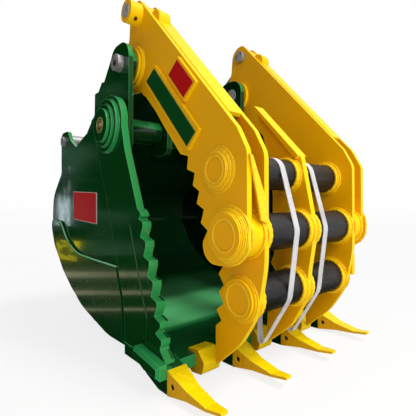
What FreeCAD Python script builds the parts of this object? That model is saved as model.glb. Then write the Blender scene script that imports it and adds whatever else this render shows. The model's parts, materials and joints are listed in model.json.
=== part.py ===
import FreeCAD, Part
import Sketcher
import math
import os
import re

# Claw bucket: a ribbed earth bucket with a hinged claw of three tines pulled by two rams.
# X runs across the bucket, -Y out of its mouth, +Z up. The origin is on the arm pin's axis.
# Outlines are drawn from the claw pivot, and every body is shifted to it.

V = FreeCAD.Vector
doc = FreeCAD.newDocument("ClawBucket")

SIZES = [
    ("pivot_y", -425, "claw pivot from the arm pin, along Y"),
    ("pivot_z", 215, "claw pivot from the arm pin, up"),
    ("arm_pin_y", 425, "arm pin from the claw pivot, along Y"),
    ("arm_pin_z", -215, "arm pin from the claw pivot, up"),
    ("link_pin_y", 760, "link pin from the claw pivot, along Y"),
    ("link_pin_z", 50, "link pin from the claw pivot, up"),
    ("rod_pin_y", -37, "rod pin from the claw pivot, along Y"),
    ("rod_pin_z", 248, "rod pin from the claw pivot, up"),
    ("ram_pin_y", 710, "ram base pin from the claw pivot, along Y"),
    ("ram_pin_z", -290, "ram base pin from the claw pivot, up"),
    ("torque_y", 25, "torque tube from the claw pivot, along Y"),
    ("torque_z", -308, "torque tube from the claw pivot, up"),
    ("claw_x", 359, "middle of each box arm from the centre plane"),
    ("claw_box", 66, "gap between the two plates of a box arm"),
    ("arm_plate", 22, "thickness of the claw's plates"),
    ("tine_plate", 28, "thickness of the middle tine"),
    ("pad_t", 14, "thickness of the pads under the bare plates"),
    ("pivot_ring", 26, "space for the claw's pivot ring"),
    ("ear_collar", 28, "collar inside the outer ear"),
    ("ear_plate", 22, "outer ear thickness"),
    ("inner_ear_plate", 28, "inner claw ear thickness"),
    ("inner_ring", 19, "ring on the inner arm plate"),
    ("side_step", 20, "gap from outer ear to side plate"),
    ("side_plate_t", 20, "side plate thickness"),
    ("side_bar_t", 32, "side bar thickness"),
    ("cutter_t", 40, "serrated cutter thickness"),
    ("cheek_t", 16, "cheek wear plate thickness"),
    ("shroud_t", 42, "corner shroud width"),
    ("hitch_gap", 310, "gap between the hitch ears"),
    ("hitch_plate", 30, "hitch ear thickness"),
    ("hitch_boss", 15, "hitch boss height"),
    ("hitch_boss_radius", 76, "hitch boss radius"),
    ("hitch_bore_radius", 40, "hitch bore radius"),
    ("pivot_pin_radius", 40, "claw pivot pin radius"),
    ("rod_pin_radius", 32, "rod pin radius"),
    ("ram_pin_radius", 30, "ram base pin radius"),
    ("play", 0.05, "running clearance on a pin's radius"),
    ("seat", 0.3, "clearance round a welded tube"),
    ("torque_radius", 57, "torque tube outer radius"),
    ("torque_wall", 12, "torque tube wall"),
    ("upper_tube_y", -640, "upper cross tube, along Y"),
    ("upper_tube_z", -556, "upper cross tube, up"),
    ("middle_tube_y", -700, "middle cross tube, along Y"),
    ("middle_tube_z", -790, "middle cross tube, up"),
    ("lower_tube_y", -668, "lower cross tube, along Y"),
    ("lower_tube_z", -1036, "lower cross tube, up"),
    ("upper_tube_radius", 66, "upper cross tube radius"),
    ("cross_tube_radius", 74, "middle and lower cross tube radius"),
    ("cross_wall", 12, "cross tube wall"),
    ("collar_w", 20, "welded collar width"),
    ("collar_rim", 12, "welded collar rim"),
    ("upper_cap_rim", 15, "widest step of the upper tube's cap beyond the tube"),
    ("middle_cap_rim", 25, "widest step of the middle tube's cap beyond the tube"),
    ("cap_inset", 9, "each step of a cap inside the one before"),
    ("dish_depth", 4, "recess in a cap's face"),
    ("tooth_half", 42, "half of a tooth's width"),
    ("nose_half", 26, "half of an adapter nose's width"),
    ("lip_shroud_half", 46, "half of a lip shroud's width"),
    ("barrel_radius", 55, "ram barrel radius"),
    ("barrel_bore", 45, "ram barrel bore radius"),
    ("barrel_end", 505, "ram barrel head from its base pin"),
    ("rod_radius", 30, "ram rod radius"),
    ("ram_eye_radius", 55, "ram eye radius"),
    ("ram_eye_w", 62, "ram eye width"),
    ("rod_start", 375, "inner end of the ram rod from the base pin"),
    ("strap_w", 32, "lashing strap width"),
    ("strap_left", 125, "left strap's middle from the centre plane"),
    ("strap_right", 82, "right strap's middle from the centre plane"),
]
ALIASES = [entry[0] for entry in SIZES]
VALUE = {alias: value for alias, value, note in SIZES}

# Planes across the bucket, each as far from the centre plane as the sizes between them say.
PLANES = {
    "arm_outer": "claw_x + claw_box / 2",
    "arm_inner": "claw_x - claw_box / 2 - arm_plate",
    "ear_inner_face": "arm_outer + arm_plate + pivot_ring + ear_collar",
    "inner_ear_face": "arm_inner - inner_ring - 7 - inner_ear_plate",
    "side_face": "ear_inner_face + ear_plate + side_step",
    "bar_outer_face": "side_face + side_bar_t",
    "hitch_face": "hitch_gap / 2",
    "tooth_pitch": "(bar_outer_face - tooth_half) / 1.5",
}

sheet = doc.addObject("Spreadsheet::Sheet", "Sizes")
for row, (alias, value, note) in enumerate(SIZES, 1):
    sheet.set("A%d" % row, note)
    sheet.set("B%d" % row, str(value))
    sheet.setAlias("B%d" % row, alias)
doc.recompute()


def cell(text):
    """Turn a formula in size and plane names into an expression on the sheet."""
    for _ in PLANES:
        text = re.sub(r"[a-z_]+",
                      lambda m: "(%s)" % PLANES[m.group()] if m.group() in PLANES else m.group(),
                      text)
    return re.sub(r"[a-z_]+",
                  lambda m: "Sizes." + m.group() if m.group() in ALIASES else m.group(),
                  text)


def rounded(points):
    """Lines and arcs of a closed outline whose corners (y, z, radius) are rounded."""
    count = len(points)
    spots = []
    for i in range(count):
        here = V(points[i][0], points[i][1], 0)
        radius = points[i][2] if len(points[i]) > 2 else 0
        if not radius:
            spots.append((here, here, here))
            continue
        before = V(points[i - 1][0], points[i - 1][1], 0)
        after = V(points[(i + 1) % count][0], points[(i + 1) % count][1], 0)
        back = (before - here).normalize()
        ahead = (after - here).normalize()
        half = back.getAngle(ahead) / 2
        reach = radius / math.tan(half)
        centre = here + (back + ahead).normalize() * (radius / math.sin(half))
        mid = centre + (here - centre).normalize() * radius
        spots.append((here + back * reach, mid, here + ahead * reach))
    pieces = []
    for i in range(count):
        first, mid, last = spots[i]
        if (last - first).Length > 1e-6:
            pieces.append(Part.Arc(first, mid, last))
        start = spots[(i + 1) % count][0]
        if (start - last).Length > 1e-6:
            pieces.append(Part.LineSegment(last, start))
    return pieces


def parallel(points, distance):
    """An open path moved sideways, to the right of its direction, radii kept concentric."""
    lines = []
    for first, last in zip(points, points[1:]):
        along = V(last[0] - first[0], last[1] - first[1], 0).normalize()
        side = V(along.y, -along.x, 0) * distance
        lines.append((V(first[0], first[1], 0) + side, along))
    moved = [(lines[0][0].x, lines[0][0].y)]
    for i in range(1, len(lines)):
        spot, along = lines[i - 1]
        other, ahead = lines[i]
        turn = along.x * ahead.y - along.y * ahead.x
        gap = other - spot
        reach = (gap.x * ahead.y - gap.y * ahead.x) / turn
        corner = spot + along * reach
        radius = points[i][2] if len(points[i]) > 2 else 0
        if radius:
            radius = radius + distance if turn > 0 else radius - distance
        moved.append((corner.x, corner.y, radius))
    last = V(points[-1][0], points[-1][1], 0)
    along = lines[-1][1]
    end = last + V(along.y, -along.x, 0) * distance
    moved.append((end.x, end.y))
    return moved


def across(side, start, width):
    """Where a slab starts along X: on the right its inner face, on the left its outer one."""
    return start if side > 0 else "-(%s) - (%s)" % (start, width)


def new_body(label, at_pivot=True):
    body = doc.addObject("PartDesign::Body", label)
    body.Label = label
    if at_pivot:
        body.setExpression("Placement.Base.y", cell("pivot_y"))
        body.setExpression("Placement.Base.z", cell("pivot_z"))
    return body


def new_sketch(body, offset, shift=("0", "0"), role="YZ_Plane"):
    plane = [item for item in body.Origin.OriginFeatures if item.Role == role][0]
    sketch = body.newObject("Sketcher::SketchObject", "Sketch")
    sketch.AttachmentSupport = [(plane, "")]
    sketch.MapMode = "FlatFace"
    sketch.setExpression("AttachmentOffset.Base.x", cell(shift[0]))
    sketch.setExpression("AttachmentOffset.Base.y", cell(shift[1]))
    sketch.setExpression("AttachmentOffset.Base.z", cell(offset))
    return sketch


def circle(sketch, radius):
    """A circle about the sketch's own origin, its radius bound to the sheet."""
    index = sketch.addGeometry(Part.Circle(V(0, 0, 0), V(0, 0, 1), 10), False)
    sketch.addConstraint(Sketcher.Constraint("Coincident", index, 3, -1, 1))
    number = sketch.addConstraint(Sketcher.Constraint("Radius", index, 10))
    name = "radius_%d" % index
    sketch.renameConstraint(number, name)
    sketch.setExpression("Constraints." + name, cell(radius))


def pad(body, sketch, length):
    feature = body.newObject("PartDesign::Pad", "Pad")
    feature.Profile = sketch
    feature.setExpression("Length", cell(length))
    body.Tip = feature
    return feature


def pocket(body, sketch, length=None):
    """A cut towards -X, right through the body or as deep as the length says."""
    feature = body.newObject("PartDesign::Pocket", "Pocket")
    feature.Profile = sketch
    if length is None:
        feature.Type = "ThroughAll"
    else:
        feature.setExpression("Length", cell(length))
    body.Tip = feature
    return feature


def slab(body, side, points, start, width):
    """A plate in the YZ plane with the outline given, from one X plane outwards."""
    sketch = new_sketch(body, across(side, start, width))
    sketch.addGeometry(rounded(points), False)
    return pad(body, sketch, width)


def disc(body, side, spot, radius, start, width):
    """A round boss across the plates."""
    sketch = new_sketch(body, across(side, start, width), spot)
    circle(sketch, radius)
    return pad(body, sketch, width)


def bore(body, spot, radius):
    """A hole right through everything in the body."""
    sketch = new_sketch(body, "700", spot)
    circle(sketch, radius)
    return pocket(body, sketch)


def dish(body, side, spot, radius, face, depth):
    """A shallow round recess in a face that looks outwards."""
    sketch = new_sketch(body, across(side, "%s - %s" % (face, depth), depth), spot)
    circle(sketch, radius)
    pocket(body, sketch, depth).Reversed = True


def cylinder(label, spot, radius, low, high):
    """A plain cylinder along X."""
    shape = doc.addObject("Part::Cylinder", label)
    shape.Label = label
    shape.Placement = FreeCAD.Placement(V(0, 0, 0), FreeCAD.Rotation(V(0, 1, 0), 90))
    shape.setExpression("Placement.Base.x", cell(low))
    shape.setExpression("Placement.Base.y", cell("pivot_y + " + spot[0]))
    shape.setExpression("Placement.Base.z", cell("pivot_z + " + spot[1]))
    shape.setExpression("Radius", cell(radius))
    shape.setExpression("Height", cell("(%s) - (%s)" % (high, low)))
    return shape


def tube(label, spot, radius, wall, low, high):
    """A hollow tube along X."""
    outside = cylinder(label + "_outside", spot, radius, low, high)
    inside = cylinder(label + "_inside", spot, "%s - %s" % (radius, wall), low, high)
    cut = doc.addObject("Part::Cut", label)
    cut.Label = label
    cut.Base = outside
    cut.Tool = inside
    return cut


def span(side, near, far):
    """Low and high X of something between two distances from the centre plane."""
    return (near, far) if side > 0 else ("-(%s)" % far, "-(%s)" % near)


PIVOT = ("0", "0")
ARM_PIN = ("arm_pin_y", "arm_pin_z")
LINK_PIN = ("link_pin_y", "link_pin_z")
ROD_PIN = ("rod_pin_y", "rod_pin_z")
RAM_PIN = ("ram_pin_y", "ram_pin_z")
TORQUE = ("torque_y", "torque_z")
UPPER = ("upper_tube_y", "upper_tube_z")
MIDDLE = ("middle_tube_y", "middle_tube_z")
LOWER = ("lower_tube_y", "lower_tube_z")
SIDES = (("left", -1), ("right", 1))
nodes = []

# The bucket: one rolled skin between two sides.

SKIN = [(75, -345.7), (560, -372, 150), (770, -500, 120), (935, -640, 150),
        (950, -830, 200), (785, -1065, 400), (425, -1250, 500), (60, -1318, 500),
        (-151, -1313)]
body = new_body("bucket_shell")
sketch = new_sketch(body, "-(side_face)")
inner = parallel(SKIN, 16)
sketch.addGeometry(rounded(SKIN + inner[::-1]), False)
pad(body, sketch, "2 * (side_face)")
nodes.append(body)

# The side bar and the side plate share this line, and the bar and the cutter the next one.
BAR_REAR = [(170, -308), (150, -430), (47, -648), (-11, -789), (-55, -905),
            (-108, -1039), (-139, -1110), (-150, -1296)]
CUTTER_REAR = [(-268, -702), (-200, -771), (-245, -885), (-289, -1008),
               (-348, -1141), (-339, -1282)]
EDGE = parallel(SKIN, -6)
SIDE_PLATE = ([(170, -308), (225, -265, 15), (409, -317, 80), (501, -349, 30),
               (604, -294, 30), (645, -234, 25), (768, -232, 40), (768, -488, 40)]
              + EDGE[3:-1] + [(-150, -1319), (-150, -1296)] + BAR_REAR[-2:0:-1])
SIDE_BAR = ([(-120, -163, 138), (170, -163, 138)] + BAR_REAR[1:] + [(-339, -1296)]
            + CUTTER_REAR[::-1] + [(-205, -560, 200), (-150, -437, 200), (-120, -330, 40)])

TIPS = [(-312, -755), (-336, -832), (-364, -909), (-393, -986), (-422, -1062),
        (-447, -1134), (-455, -1198)]
CUTTER = [(-268, -702), (-285, -712, 6), (-300, -732, 5)]
for tip_y, tip_z in TIPS:
    CUTTER += [(tip_y + 44, tip_z + 14, 5), (tip_y, tip_z, 5), (tip_y - 1, tip_z - 20, 8)]
CUTTER += [(-440, -1232, 14), (-484, -1272, 8), (-484, -1282)] + CUTTER_REAR[:0:-1]

CHEEK = [(905, -790, 8), (755, -802, 150), (655, -885, 90), (525, -948, 120), (406, -970, 100),
         (211, -975), (-68, -975, 10), (-92, -1040), (-124, -1112), (-136, -1288, 10),
         (4, -1292, 100), (180, -1282, 100), (410, -1220, 200), (528, -1177, 200),
         (690, -1090, 200), (862, -950, 100), (925, -830, 60)]
SHROUD = [(-290, -1292), (-305, -1254), (-440, -1268), (-495, -1276), (-495, -1330), (-395, -1328)]

for name, side in SIDES:
    plate = new_body(name + "_side_plate")
    slab(plate, side, SIDE_PLATE, "side_face", "side_plate_t")
    bore(plate, RAM_PIN, "ram_pin_radius + play")
    bar = new_body(name + "_side_bar")
    slab(bar, side, SIDE_BAR, "side_face", "side_bar_t")
    cutter = new_body(name + "_serrated_cutter")
    slab(cutter, side, CUTTER, "bar_outer_face - cutter_t", "cutter_t")
    cheek = new_body(name + "_cheek_wear_plate")
    slab(cheek, side, CHEEK, "side_face + side_plate_t", "cheek_t")
    shroud = new_body(name + "_corner_shroud")
    block = slab(shroud, side, SHROUD, "bar_outer_face", "shroud_t")
    doc.recompute()
    far = max(abs(block.Shape.BoundBox.XMin), abs(block.Shape.BoundBox.XMax))
    rim = ["Edge%d" % number for number, edge in enumerate(block.Shape.Edges, 1)
           if abs(abs(edge.BoundBox.XMin) - far) < 0.01 and abs(abs(edge.BoundBox.XMax) - far) < 0.01]
    bevel = shroud.newObject("PartDesign::Chamfer", "Chamfer")
    bevel.Base = (block, rim)
    bevel.Size = 12
    shroud.Tip = bevel
    cap = new_body(name + "_tube_cap")
    disc(cap, side, TORQUE, "125", "bar_outer_face", "18")
    disc(cap, side, TORQUE, "100", "bar_outer_face + 18", "10")
    disc(cap, side, TORQUE, "79", "bar_outer_face + 28", "13")
    nodes += [plate, bar, cutter, cheek, shroud, cap]

# The cutting lip: a thick plate with four socketed teeth and three shrouds between them.

body = new_body("lip_plate")
slab(body, 1, [(-151, -1296), (-455, -1296), (-455, -1346), (-151, -1346)],
     "-(bar_outer_face)", "2 * (bar_outer_face)")
nodes.append(body)

STRAP = [(-340, -1296), (-340, -1282), (-430, -1282), (-497, -1304), (-497, -1392),
         (-430, -1395), (-330, -1365), (-330, -1346), (-455, -1346), (-455, -1296)]
NOSE = [(-496, -1316), (-560, -1340), (-560, -1366), (-496, -1382)]
SOCKET = [(-490, -1312), (-564, -1337), (-564, -1369), (-490, -1384)]
SECTIONS = [(497, 42, -1391, -1297), (600, 30, -1374, -1337), (700, 25, -1366, -1354),
            (768, 15, -1357, -1346)]
TOOTH_PIN = ("-526", "-1349")
TEETH = (("left_outer", -1.5), ("left_inner", -0.5), ("right_inner", 0.5), ("right_outer", 1.5))
for name, place in TEETH:
    where = cell("tooth_pitch") + " * %s" % place
    adapter = new_body("tooth_adapter_" + name)
    adapter.setExpression("Placement.Base.x", where)
    slab(adapter, 1, STRAP, "-(tooth_half - 4)", "2 * (tooth_half - 4)")
    slab(adapter, 1, NOSE, "-(nose_half)", "2 * (nose_half)")
    bore(adapter, TOOTH_PIN, "11.5")
    tooth = new_body("tooth_" + name)
    tooth.setExpression("Placement.Base.x", where)
    profiles = []
    for reach, half, low, high in SECTIONS:
        section = new_sketch(tooth, str(reach), role="XZ_Plane")
        section.addGeometry(rounded([(-half, low), (half, low), (half, high), (-half, high)]), False)
        profiles.append(section)
    loft = tooth.newObject("PartDesign::AdditiveLoft", "Loft")
    loft.Profile = profiles[0]
    loft.Sections = profiles[1:]
    loft.Ruled = True
    tooth.Tip = loft
    mouth = new_sketch(tooth, "nose_half + 1")
    mouth.addGeometry(rounded(SOCKET), False)
    pocket(tooth, mouth, "2 * (nose_half + 1)")
    bore(tooth, TOOTH_PIN, "11.5")
    nodes += [adapter, tooth]

LIP_SHROUD = [(-405, -1296), (-405, -1285, 4), (-470, -1278, 12), (-512, -1320, 16),
              (-496, -1370, 14), (-430, -1380, 12), (-405, -1362), (-405, -1346),
              (-455, -1346), (-455, -1296)]
for name, place in (("left", -1), ("middle", 0), ("right", 1)):
    body = new_body("lip_shroud_" + name)
    body.setExpression("Placement.Base.x", cell("tooth_pitch") + " * %s" % place)
    slab(body, 1, LIP_SHROUD, "-(lip_shroud_half)", "2 * (lip_shroud_half)")
    nodes.append(body)

RUNNER = [(514, -1204.3), (425, -1250, 500), (60, -1318, 500), (-60, -1315.6),
          (-60, -1360), (-20, -1395), (440, -1395), (514, -1235)]
for name, side in SIDES:
    body = new_body(name + "_heel_runner")
    slab(body, side, RUNNER, "185", "30")
    nodes.append(body)

# The frame above the bucket: torque tube, claw ears, hitch ears, ram lugs and their pins.

nodes.append(tube("torque_tube", TORQUE, "torque_radius", "torque_wall",
                  "-(side_face)", "side_face"))

EAR = [(-87, 100, 85), (79, 100, 75), (109, 53), (196, -39, 8), (223, -32, 6), (270, -73, 8),
       (319, -73, 8), (324, -193, 12), (372, -212, 12), (400, -363.2), (74.8, -345.6),
       (71, -400, 20), (40, -436, 30), (-60, -436, 25), (-87, -400, 25)]
INNER_EAR = [(-85, 92, 80), (88, 92, 75), (120, 20, 40), (240, -20, 30), (330, -60, 40),
             (345, -200, 40), (400, -363.2), (74.8, -345.6), (71, -400, 20), (40, -430, 30),
             (-60, -430, 25), (-85, -400, 25)]
HITCH = [(330, -359.4), (347, -137, 70), (480, -137, 80), (682, 130, 74), (838, 130, 76),
         (838, -40, 76), (742, -482.7), (560, -371.7, 150)]
LUG = [(655, -232, 50), (768, -232, 50), (768, -340, 60), (755, -490.7), (600, -396.2),
       (640, -330, 40)]
for name, side in SIDES:
    ear = new_body(name + "_outer_ear")
    slab(ear, side, EAR, "ear_inner_face", "ear_plate")
    disc(ear, side, PIVOT, "72", "ear_inner_face - ear_collar", "ear_collar")
    bore(ear, PIVOT, "pivot_pin_radius + play")
    bore(ear, TORQUE, "torque_radius + seat")
    inner_ear = new_body(name + "_inner_ear")
    slab(inner_ear, side, INNER_EAR, "inner_ear_face", "inner_ear_plate")
    bore(inner_ear, PIVOT, "pivot_pin_radius + play")
    bore(inner_ear, TORQUE, "torque_radius + seat")
    hitch = new_body(name + "_hitch_ear")
    slab(hitch, side, HITCH, "hitch_face", "hitch_plate")
    for pin in (ARM_PIN, LINK_PIN):
        disc(hitch, side, pin, "hitch_boss_radius", "hitch_face + hitch_plate", "hitch_boss")
        bore(hitch, pin, "hitch_bore_radius")
    lug = new_body(name + "_ram_lug")
    slab(lug, side, LUG, "arm_inner - 14", "25")
    bore(lug, RAM_PIN, "ram_pin_radius + play")
    pin = new_body(name + "_claw_pivot_pin")
    disc(pin, side, PIVOT, "pivot_pin_radius", "inner_ear_face - 4", "274")
    sketch = new_sketch(pin, across(side, "inner_ear_face + 260", "10"), ("12", "0"))
    circle(sketch, "7")
    cut = pocket(pin, sketch, "10")
    cut.Reversed = True
    ram_pin = new_body(name + "_ram_pin")
    disc(ram_pin, side, RAM_PIN, "ram_pin_radius", "arm_inner - 20",
         "(side_face) + side_plate_t + 14 - (arm_inner) + 20")
    disc(ram_pin, side, RAM_PIN, "ram_pin_radius + 15", "arm_outer + 1",
         "(side_face) - (arm_outer) - 3")
    nodes += [ear, inner_ear, hitch, lug, pin, ram_pin]

# The claw: two box arms of two plates each, a middle tine and three cross tubes.

TOP_EDGE = [(-48, 322, 36), (-735, -415, 60)]
BITES = [(-576, -781, 4), (-535, -754, 5), (-554, -702, 4), (-509, -679, 5), (-525, -631, 4),
         (-483, -607, 5), (-496, -558, 4), (-444, -540, 5), (-452, -487, 4), (-398, -473)]
PALM = [(-281, -348, 200), (-195, -250, 200), (-105, -165, 60), (-40, -122, 60),
        (118, -122, 110), (118, 62, 80), (58, 160, 80)]
OUTER_ARM = ([(45, 322, 75)] + TOP_EDGE + [(-783, -500, 60), (-785, -905, 110), (-545, -905, 70),
             (-548, -825, 4)] + BITES + PALM)
LOWER_BITES = [(-521, -1175, 10), (-556, -1147, 4), (-525, -1110, 5), (-568, -1078, 4),
               (-541, -1034, 5), (-571, -1002, 4), (-539, -962, 5), (-569, -925, 4),
               (-545, -880, 5), (-570, -838, 4), (-544, -815, 5)]
INNER_ARM = ([(42, 322, 72)] + TOP_EDGE + [(-783, -500, 80), (-785, -900, 400), (-748, -1085, 300),
             (-660, -1215, 250), (-521, -1335, 6)] + LOWER_BITES + BITES + PALM)
GREEN_PAD = [(-211, -47, 4), (-540, -393, 4), (-466, -468, 4), (-128, -115, 4)]
RED_PAD = [(-396, -68, 4), (-521, -205, 4), (-440, -267, 4), (-314, -131, 4)]
OUT_FACE = "arm_outer + arm_plate"
for name, side in SIDES:
    arm = new_body(name + "_outer_arm_plate")
    slab(arm, side, OUTER_ARM, "arm_outer", "arm_plate")
    disc(arm, side, PIVOT, "100", OUT_FACE, "14")
    disc(arm, side, PIVOT, "88", OUT_FACE + " + 14", "pivot_ring - 15")
    disc(arm, side, ROD_PIN, "54", OUT_FACE, "65")
    slab(arm, side, GREEN_PAD, OUT_FACE, "pad_t")
    slab(arm, side, RED_PAD, OUT_FACE, "pad_t")
    for spot, step, radius, rim in ((UPPER, 8, "upper_tube_radius", "upper_cap_rim"),
                                    (MIDDLE, 11, "cross_tube_radius", "middle_cap_rim")):
        for level in range(3):
            disc(arm, side, spot, "%s + %s - %d * cap_inset" % (radius, rim, level),
                 OUT_FACE + " + %d" % (step * level), str(step))
        dish(arm, side, spot, radius + " - 16", OUT_FACE + " + %d" % (3 * step), "dish_depth")
    disc(arm, side, MIDDLE, "cross_tube_radius + collar_rim", "arm_outer - claw_box", "claw_box")
    bore(arm, PIVOT, "pivot_pin_radius + play")
    bore(arm, ROD_PIN, "rod_pin_radius")
    sketch = new_sketch(arm, across(side, "arm_outer - claw_box", "claw_box"), MIDDLE)
    circle(sketch, "cross_tube_radius + seat")
    recess = pocket(arm, sketch, "claw_box")
    recess.Reversed = True
    plate = new_body(name + "_inner_arm_plate")
    slab(plate, side, INNER_ARM, "arm_inner", "arm_plate")
    disc(plate, side, PIVOT, "96", "arm_inner - inner_ring", "inner_ring")
    disc(plate, side, LOWER, "cross_tube_radius + 11", "arm_inner + arm_plate", "12")
    disc(plate, side, LOWER, "cross_tube_radius + 2", "arm_inner + arm_plate + 12", "10")
    dish(plate, side, LOWER, "cross_tube_radius - 14", "arm_inner + arm_plate + 22", "dish_depth")
    for spot, radius in ((UPPER, "upper_tube_radius"), (MIDDLE, "cross_tube_radius"),
                         (LOWER, "cross_tube_radius")):
        disc(plate, side, spot, radius + " + collar_rim", "arm_inner - collar_w", "collar_w")
    bore(plate, UPPER, "upper_tube_radius + seat")
    bore(plate, MIDDLE, "cross_tube_radius + seat")
    sketch = new_sketch(plate, across(side, "arm_inner - collar_w", "collar_w + arm_plate"), LOWER)
    circle(sketch, "cross_tube_radius + seat")
    recess = pocket(plate, sketch, "collar_w + arm_plate")
    recess.Reversed = True
    bore(plate, PIVOT, "pivot_pin_radius + play")
    bore(plate, ROD_PIN, "rod_pin_radius")
    cover = new_body(name + "_arm_cover")
    slab(cover, side, [(-150, 217), (-672, -343), (-660, -354), (-138, 206)],
         "arm_outer - claw_box", "claw_box")
    rod_pin = doc.addObject("Part::Compound", name + "_rod_pin")
    rod_pin.Label = name + "_rod_pin"
    low, high = span(side, "arm_inner - 28", "arm_inner + arm_plate")
    inside = cylinder(name + "_rod_pin_inner", ROD_PIN, "rod_pin_radius", low, high)
    low, high = span(side, "arm_outer", "arm_outer + arm_plate + 69")
    outside = cylinder(name + "_rod_pin_outer", ROD_PIN, "rod_pin_radius", low, high)
    rod_pin.Links = [inside, outside]
    nodes += [arm, plate, cover, rod_pin]

# One slanting brace closes the front of the left box arm above its middle tube.
brace = new_body("left_front_brace")
slant = new_sketch(brace, "766", ("-(claw_x)", "middle_tube_z + cross_tube_radius + collar_rim - 17"),
                   "XZ_Plane")
slant.addGeometry(rounded([(-33, 214), (-33, 190), (11, 0), (33, 0), (33, 90), (-19, 214)]), False)
pad(brace, slant, "16")
nodes.append(brace)

TINE = [(-470, -222, 6), (-716, -478, 60), (-768, -720, 200), (-782, -800, 200),
        (-752, -975, 300), (-754, -1062, 200), (-665, -1212, 150), (-521, -1332, 6),
        (-530, -1184, 20), (-575, -1085, 4), (-548, -1040, 5), (-578, -987, 4),
        (-548, -953, 5), (-570, -908, 4), (-560, -860), (-560, -640), (-545, -480, 60),
        (-500, -360, 60), (-470, -300, 20)]
tine = new_body("middle_tine")
slab(tine, 1, TINE, "-(tine_plate) / 2", "tine_plate")
slab(tine, 1, [(-453, -205, 4), (-712, -473, 4), (-697, -488, 4), (-453, -228, 4)], "-30", "60")
for spot, radius in ((UPPER, "upper_tube_radius"), (MIDDLE, "cross_tube_radius"),
                     (LOWER, "cross_tube_radius")):
    disc(tine, 1, spot, radius + " + collar_rim", "-(tine_plate) / 2 - collar_w",
         "tine_plate + 2 * collar_w")
    bore(tine, spot, radius + " + seat")
nodes.append(tine)

for name, spot, radius, end in (("upper", UPPER, "upper_tube_radius", "arm_outer"),
                                ("middle", MIDDLE, "cross_tube_radius", "arm_outer"),
                                ("lower", LOWER, "cross_tube_radius", "arm_inner + arm_plate")):
    nodes.append(tube(name + "_cross_tube", spot, radius, "cross_wall", "-(%s)" % end, end))

# Two lashing straps lie round the three cross tubes as flat belts.


def belt(rounds):
    """Corners of a belt drawn tight round circles (y, z, radius), met anticlockwise."""
    lines = []
    for i, (y, z, radius) in enumerate(rounds):
        next_y, next_z, next_radius = rounds[(i + 1) % len(rounds)]
        run = V(next_y - y, next_z - z, 0)
        along = V(run).normalize()
        lean = (radius - next_radius) / run.Length
        out = along * lean + V(along.y, -along.x, 0) * math.sqrt(1 - lean * lean)
        lines.append((out, out.x * y + out.y * z + radius))
    corners = []
    for i, (y, z, radius) in enumerate(rounds):
        (first, one), (second, two) = lines[i - 1], lines[i]
        turn = first.x * second.y - first.y * second.x
        corners.append(((one * second.y - two * first.y) / turn,
                        (two * first.x - one * second.x) / turn, radius))
    return corners


ROUNDS = [(VALUE[tube_name + "_y"], VALUE[tube_name + "_z"], VALUE[radius] + 0.6)
          for tube_name, radius in (("upper_tube", "upper_tube_radius"),
                                    ("middle_tube", "cross_tube_radius"),
                                    ("lower_tube", "cross_tube_radius"))]
ROUNDS.append((-597, -1262, 14))
for name, side in SIDES:
    strap = new_body(name + "_lashing_strap")
    middle = "%d * strap_%s" % (side, name)
    sketch = new_sketch(strap, middle + " - strap_w / 2")
    sketch.addGeometry(rounded(belt([(y, z, radius + 3) for y, z, radius in ROUNDS])), False)
    sketch.addGeometry(rounded(belt(ROUNDS)), False)
    pad(strap, sketch, "strap_w")
    nodes.append(strap)

# The two rams, drawn along their own axis and tilted from the base pin to the rod pin.

TILT = "atan2(rod_pin_z - ram_pin_z; rod_pin_y - ram_pin_y) - 90"
for name, side in SIDES:
    for part in ("barrel", "rod"):
        body = new_body(name + "_ram_" + part)
        body.setExpression("Placement.Base.x", cell("%d * claw_x" % side))
        body.setExpression("Placement.Base.y", cell("pivot_y + ram_pin_y"))
        body.setExpression("Placement.Base.z", cell("pivot_z + ram_pin_z"))
        body.Placement.Rotation = FreeCAD.Rotation(V(1, 0, 0), 30)
        body.setExpression("Placement.Rotation.Angle", cell(TILT).replace("- 90", "- 90 deg"))
        if part == "barrel":
            disc(body, 1, PIVOT, "ram_eye_radius", "-(ram_eye_w) / 2", "ram_eye_w")
            sketch = new_sketch(body, "ram_pin_radius + 8", role="XY_Plane")
            circle(sketch, "ram_eye_w / 2 - 3")
            pad(body, sketch, "60")
            sketch = new_sketch(body, "90", role="XY_Plane")
            circle(sketch, "barrel_radius")
            pad(body, sketch, "barrel_end - 120")
            sketch = new_sketch(body, "barrel_end - 55", role="XY_Plane")
            circle(sketch, "barrel_radius + 8")
            pad(body, sketch, "55")
            sketch = new_sketch(body, "barrel_end", role="XY_Plane")
            circle(sketch, "rod_radius + play")
            pocket(body, sketch, "barrel_end - 130")
            bore(body, PIVOT, "ram_pin_radius + play")
        else:
            sketch = new_sketch(body, "rod_start", role="XY_Plane")
            circle(sketch, "rod_radius")
            reach = "sqrt(pow(rod_pin_y - ram_pin_y; 2) + pow(rod_pin_z - ram_pin_z; 2))"
            pad(body, sketch, reach + " - rod_start")
            sketch = new_sketch(body, "-(ram_eye_w) / 2", ("0", reach))
            circle(sketch, "ram_eye_radius")
            pad(body, sketch, "ram_eye_w")
        nodes.append(body)

doc.recompute()
faults = [item.Name for item in doc.Objects if "Invalid" in item.State or "Error" in item.State]
faults += [item.Label for item in nodes if item.Shape.isNull() or not item.Shape.isValid()]
if faults:
    raise RuntimeError("not sound: " + ", ".join(faults))
os.makedirs("parts", exist_ok=True)
for item in nodes:
    item.Shape.exportStep("parts/%s.step" % item.Label)
    box = item.Shape.BoundBox
    print("%-26s %d solid  %7.0f cm3  x %5.0f..%5.0f y %5.0f..%5.0f z %5.0f..%5.0f" % (
        item.Label, len(item.Shape.Solids), item.Shape.Volume / 1000,
        box.XMin, box.XMax, box.YMin, box.YMax, box.ZMin, box.ZMax))
print(len(nodes), "pieces")
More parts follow.
